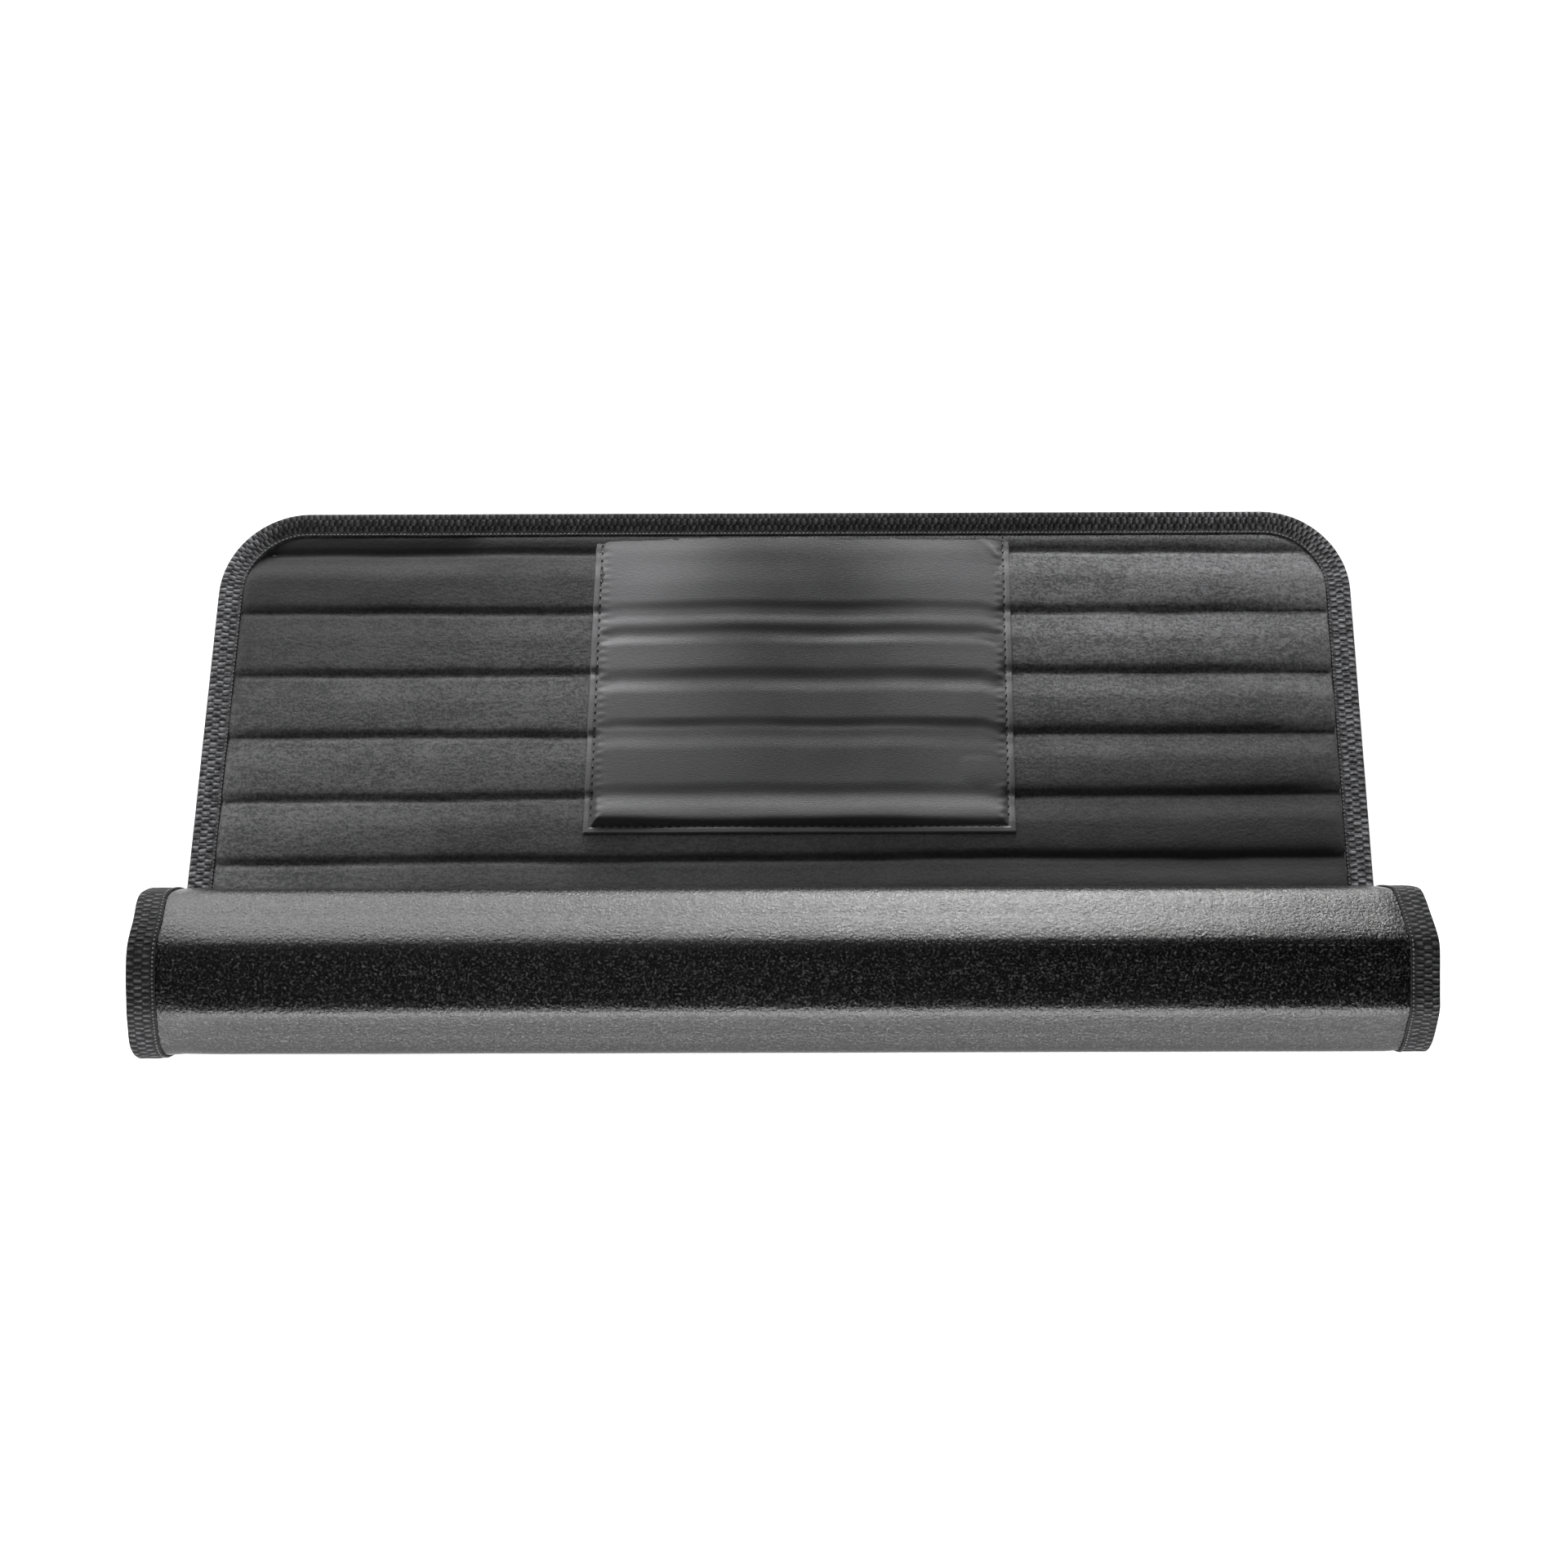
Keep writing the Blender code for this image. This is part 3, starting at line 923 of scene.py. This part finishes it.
class MAT_OT_binding(bpy.types.Operator):
    """Makes the folded edge tape"""

    bl_idname = "mat.binding"
    bl_label = "Edge binding"

    def execute(self, context):
        _, colours, _ = props()
        path = make_path()
        section = self.section()
        around = self.stations()
        columns, rows = len(around) - 1, len(section) - 1
        bm = bmesh.new()
        uv = bm.loops.layers.uv.new("UVMap")
        bmesh.ops.create_grid(bm, x_segments=columns, y_segments=rows, size=1.0)
        where = {}
        for vert in bm.verts:
            i = round((vert.co.x + 1) / 2 * columns)
            j = round((vert.co.y + 1) / 2 * rows)
            where[vert] = (i, j)
            along, x, s, nx, ns = around[i]
            across, inset, height = section[j]
            if inset > 0.012:
                inset += 0.00035 * wander(along, 4.0, 8.0, 0.018)
            if height >= 0.0009 or s >= FLAT:
                height += 0.00012 * wander(along, across * 3, 2.0, 0.02)
            vert.co = path.point(x + nx * inset, s + ns * inset, max(0.0, height))
        for face in bm.faces:
            for loop in face.loops:
                i, j = where[loop.vert]
                loop[uv].uv = (around[i][0], section[j][0])
        bmesh.ops.remove_doubles(bm, verts=bm.verts[:], dist=1e-6)
        turn_outwards(bm)
        across = section[-1][0]
        piece = new_object("edge_tape", bm, woven_tape(colours, across / 2))
        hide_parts("edge_binding")
        return {"FINISHED"}

    def section(self):
        """(distance across, inset, height) from the lower flange's edge to the upper one's."""
        turn = BOUND_TOP / 2
        inner, outer = TAPE_REACH - 0.0003, TAPE_REACH + 0.0001
        points = [(TAPE_REACH, TAPE), (outer, TAPE * 0.5), (inner, 0.0)]
        points += [(TAPE_REACH * k / 6 + turn * (1 - k / 6), 0.0) for k in (5, 4, 3, 2, 1)]
        for step in range(FOLD_STEPS + 1):
            angle = -pi / 2 - pi * step / FOLD_STEPS
            points.append((turn * 0.9 * (1 + cos(angle)), turn * (1 + sin(angle))))
        for k in range(1, 10):
            share = k / 10
            sunk = 0.00075 * smooth(share, 0.25, 0.8) - 0.00025 * smooth(share, 0.86, 1.0)
            points.append((TAPE_REACH * share + turn * (1 - share), BOUND_TOP - sunk))
        points += [(inner, BOUND_TOP - 0.0005), (outer, BOUND_TOP - 0.0008)]
        points.append((TAPE_REACH, BOUND_TOP - TAPE - 0.0006))
        section, run = [], 0.0
        for k, (inset, height) in enumerate(points):
            if k:
                run += hypot(inset - points[k - 1][0], height - points[k - 1][1])
            section.append((run, inset, height))
        return section

    def stations(self):
        """(distance along, x, s, inward x, inward s) round the outline, closed."""
        half_w, half_l = WIDTH / 2 - CORNER, LENGTH / 2 - CORNER
        corners = ((1, -1), (1, 1), (-1, 1), (-1, -1))
        points = []
        for k, (sx, sy) in enumerate(corners):
            for step in range(CORNER_STEPS + 1):
                angle = -pi / 2 + pi / 2 * (k + step / CORNER_STEPS)
                points.append((sx * half_w, LENGTH / 2 + sy * half_l, cos(angle), sin(angle)))
            nx, ny = corners[(k + 1) % 4]
            span = hypot((nx - sx) * half_w, (ny - sy) * half_l)
            count = ceil(span / TAPE_STATION)
            for step in range(1, count):
                t = step / count
                angle = pi / 2 * k
                x = (sx + (nx - sx) * t) * half_w
                y = LENGTH / 2 + (sy + (ny - sy) * t) * half_l
                points.append((x, y, cos(angle), sin(angle)))
        points.append(points[0])
        found, run, last = [], 0.0, None
        for cx, cy, ax, ay in points:
            x, s = cx + ax * CORNER, cy + ay * CORNER
            if last:
                run += hypot(x - last[0], s - last[1])
            last = (x, s)
            found.append((run, x, s, -ax, -ay))
        return found


class MAT_OT_panel(bpy.types.Operator):
    """Makes the satin panel with its hem"""

    bl_idname = "mat.panel"
    bl_label = "Satin panel"

    def execute(self, context):
        sizes, colours, _ = props()
        path = make_path()
        quilt = Quilt(sizes, path)
        half, fine = PANEL_WIDTH / 2, 0.012
        across = stretched([(0.0, -half), (0.17, -half + fine), (0.83, half - fine), (1.0, half)])
        foot = PANEL_START + PANEL_LENGTH
        down = stretched([(0.0, PANEL_START - PANEL_TUCK), (0.82, foot - fine), (1.0, foot)])

        def place(u, v):
            x, s = PANEL_CENTRE + across(u), down(v)
            return path.point(x, s, panel_top(quilt, sizes, x, s))

        bm = laid_grid(*PANEL_GRID, place, upwards=True)
        piece = new_object("satin_panel", bm, satin_weave(colours))
        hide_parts("label_panel")
        return {"FINISHED"}


class MAT_OT_stitches(bpy.types.Operator):
    """Makes the quilting, tape and panel stitches"""

    bl_idname = "mat.stitches"
    bl_label = "Stitches"

    def execute(self, context):
        sizes, colours, _ = props()
        path = make_path()
        quilt = Quilt(sizes, path)
        dark = sewing_thread("dark_thread", colours.thread)
        grey = sewing_thread("grey_thread", shade(colours.rib, 0.24))
        rows = {name: [] for name in THREAD_RADIUS}
        self.quilting_rows(rows["quilting_back"], rows["quilting_face"], sizes, quilt)
        self.tape_rows(rows["tape_stitches"], sizes)
        self.panel_rows(rows["panel_stitches"], sizes, quilt)
        capsule = self.capsule()
        count = len(capsule.vertices)
        for name, stitches in rows.items():
            bm = bmesh.new()
            for _ in stitches:
                bm.from_mesh(capsule)
            for index, vert in enumerate(bm.verts):
                vert.co = self.placed(path, THREAD_RADIUS[name], vert.co, *stitches[index // count])
            turn_outwards(bm)
            new_object(name, bm, grey if name == "tape_stitches" else dark)
        bpy.data.meshes.remove(capsule)
        return {"FINISHED"}

    def capsule(self):
        """A small round-ended body of unit size."""
        bm = bmesh.new()
        bmesh.ops.create_uvsphere(bm, u_segments=6, v_segments=4, radius=1.0)
        mesh = bpy.data.meshes.new("capsule")
        bm.to_mesh(mesh)
        bm.free()
        return mesh

    def placed(self, path, radius, co, x, s, half, turn, height, side):
        """A capsule's point on the mat: it lies on the surface, its ends dipping in."""
        along, across, up = co.z * half, co.x * radius * 1.2, co.y * radius
        up -= radius * 0.8 * co.z**4
        px = x + along * cos(turn) - across * sin(turn)
        ps = s + along * sin(turn) + across * cos(turn)
        return path.point(px, ps, height + side * up)

    # Each row lists its stitches as (x, s, half length, turn, height, side of the mat).

    def quilting_rows(self, behind, front, sizes, quilt):
        pitch = sizes.quilt_stitch
        half = pitch * STITCH_SHARE
        for k in range(CHANNELS + 1):
            seam = END_MARGIN + PITCH * k
            reach = half_width(seam, TAPE_REACH + 0.001)
            for i in range(int(2 * reach / pitch)):
                x = -reach + (i + 0.5) * pitch
                s = seam - (quilt.seam_phase(x, seam) - k) * PITCH
                behind.append((x, s, half, 0.0, quilt.back(x, s) + BACK_STITCH_LIFT, -1))
                if seam < FLAT + 0.02:
                    front.append((x, s, half, 0.0, quilt.face(x, s), 1))

    def tape_rows(self, found, sizes):
        pitch = sizes.tape_stitch
        half = pitch * TAPE_STITCH_SHARE
        inset = TAPE_REACH - 0.0013
        half_w, half_l = WIDTH / 2 - CORNER, LENGTH / 2 - CORNER
        radius = CORNER - inset
        for side, height in ((1, BOUND_TOP), (-1, 0.0)):
            for sx in (-1, 1):
                x = sx * (WIDTH / 2 - inset)
                for i in range(int(2 * half_l / pitch)):
                    s = CORNER + (i + 0.5) * pitch
                    found.append((x, s, half, pi / 2, height, side))
            for sy in (-1, 1):
                s = LENGTH / 2 + sy * (LENGTH / 2 - inset)
                for i in range(int(2 * half_w / pitch)):
                    x = -half_w + (i + 0.5) * pitch
                    found.append((x, s, half, 0.0, height, side))
                for sx in (-1, 1):
                    count = int(radius * pi / 2 / pitch)
                    for i in range(count):
                        angle = pi / 2 * (i + 0.5) / count
                        x = sx * (half_w + radius * sin(angle))
                        s = LENGTH / 2 + sy * (half_l + radius * cos(angle))
                        found.append((x, s, half, -sx * sy * angle, height, side))

    def panel_rows(self, found, sizes, quilt):
        pitch, hem = sizes.panel_stitch, sizes.hem
        half = pitch * STITCH_SHARE
        for sx in (-1, 1):
            x = PANEL_CENTRE + sx * (PANEL_WIDTH / 2 - hem)
            for i in range(int((PANEL_LENGTH - hem) / pitch)):
                s = PANEL_START + (i + 0.5) * pitch
                found.append((x, s, half, pi / 2, panel_top(quilt, sizes, x, s), 1))
        s = PANEL_START + PANEL_LENGTH - hem
        for i in range(int((PANEL_WIDTH - 2 * hem) / pitch)):
            x = PANEL_CENTRE - PANEL_WIDTH / 2 + hem + (i + 0.5) * pitch
            found.append((x, s, half, 0.0, panel_top(quilt, sizes, x, s), 1))


class MAT_OT_studio(bpy.types.Operator):
    """Makes the floor, the lights and the camera"""

    bl_idname = "mat.studio"
    bl_label = "Studio"

    def execute(self, context):
        _, colours, stage = props()
        bm = bmesh.new()
        bmesh.ops.create_grid(bm, x_segments=2, y_segments=2, size=FLOOR_SIZE)
        bmesh.ops.translate(bm, vec=(0, 0, -FLOOR_DROP), verts=bm.verts)
        mesh = bpy.data.meshes.new("studio_floor")
        bm.to_mesh(mesh)
        bm.free()
        mesh.materials.append(floor_finish(colours, stage.glow))
        ground = bpy.data.objects.new("studio_floor", mesh)
        context.scene.collection.objects.link(ground)
        self.area("back_light", *BACK_LIGHT, stage.key)
        self.area("accent_light", *ACCENT_LIGHT, stage.accent)
        self.area("front_light", *FRONT_LIGHT, stage.fill)
        self.area("top_light", *TOP_LIGHT, stage.top)
        self.area("left_light", *LEFT_LIGHT, stage.sides)
        self.area("right_light", *RIGHT_LIGHT, stage.sides)
        self.camera(stage)
        context.scene.world = self.air()
        context.scene.view_settings.view_transform = "Standard"
        context.scene.view_settings.look = "None"
        return {"FINISHED"}

    def air(self):
        """Pale surroundings to look at, which stay dark to the mat's own reflections."""
        world = bpy.data.worlds.new("studio_air")
        world.use_nodes = True
        nodes, links = world.node_tree.nodes, world.node_tree.links
        looked_at = nodes.new("ShaderNodeLightPath").outputs["Is Camera Ray"]
        mix = nodes.new("ShaderNodeMix")
        mix.data_type = "RGBA"
        links.new(looked_at, mix.inputs[MIX_FACTOR])
        mix.inputs[MIX_LOW].default_value = DARK_AIR
        mix.inputs[MIX_HIGH].default_value = PALE_AIR
        links.new(mix.outputs[MIX_COLOUR], nodes["Background"].inputs["Color"])
        return world

    def area(self, name, place, target, size, power):
        """A rectangular light at place, turned to its target."""
        light = bpy.data.lights.new(name, "AREA")
        light.shape = "RECTANGLE"
        light.size, light.size_y = size
        light.energy = power
        lamp = bpy.data.objects.new(name, light)
        lamp.location = place
        aim = Vector(target) - Vector(place)
        lamp.rotation_euler = aim.to_track_quat("-Z", "Y").to_euler()
        bpy.context.scene.collection.objects.link(lamp)

    def camera(self, stage):
        """Looks down on the mat from its near side, as the photograph does."""
        turn = Matrix.Rotation(CAMERA_YAW, 3, "Z")
        level = turn @ Vector((1, 0, 0))
        forward = turn @ Vector((0, cos(CAMERA_PITCH), -sin(CAMERA_PITCH)))
        above = level.cross(forward)
        right = level * cos(CAMERA_ROLL) + above * sin(CAMERA_ROLL)
        up = above * cos(CAMERA_ROLL) - level * sin(CAMERA_ROLL)
        data = bpy.data.cameras.new("camera")
        data.lens = stage.lens
        data.sensor_width = SENSOR
        camera = bpy.data.objects.new("camera", data)
        turned = Matrix((right, up, -forward)).transposed().to_4x4()
        x, y, z = CAMERA_PLACE
        place = Vector((x, y + FAR_EDGE - FLAT, z))
        camera.matrix_world = Matrix.Translation(place) @ turned
        bpy.context.scene.collection.objects.link(camera)
        bpy.context.scene.camera = camera


class MAT_PT_sidebar(bpy.types.Panel):
    """Lists the mat's sizes, colours and makers."""

    bl_label = "Carrier mat"
    bl_idname = "MAT_PT_sidebar"
    bl_space_type = "VIEW_3D"
    bl_region_type = "UI"
    bl_category = "Mat"

    def draw(self, context):
        for group in props():
            box = self.layout.box()
            for name in group.__annotations__:
                box.prop(group, name)
        for operator in OPERATORS:
            self.layout.operator(operator.bl_idname)


OPERATORS = (
    MAT_OT_foam,
    MAT_OT_face,
    MAT_OT_back,
    MAT_OT_binding,
    MAT_OT_panel,
    MAT_OT_stitches,
    MAT_OT_studio,
)
GROUPS = {"mat_sizes": MatSizes, "mat_colours": MatColours, "mat_stage": StageSettings}


def register():
    for cls in (*GROUPS.values(), *OPERATORS, MAT_PT_sidebar):
        bpy.utils.register_class(cls)
    for name, group in GROUPS.items():
        setattr(bpy.types.Scene, name, bpy.props.PointerProperty(type=group))


def unregister():
    for name in GROUPS:
        delattr(bpy.types.Scene, name)
    for cls in reversed((*GROUPS.values(), *OPERATORS, MAT_PT_sidebar)):
        bpy.utils.unregister_class(cls)


def main():
    register()
    bpy.ops.mat.foam()
    bpy.ops.mat.face()
    bpy.ops.mat.back()
    bpy.ops.mat.binding()
    bpy.ops.mat.panel()
    bpy.ops.mat.stitches()
    bpy.ops.mat.studio()


if __name__ == "__main__":
    main()
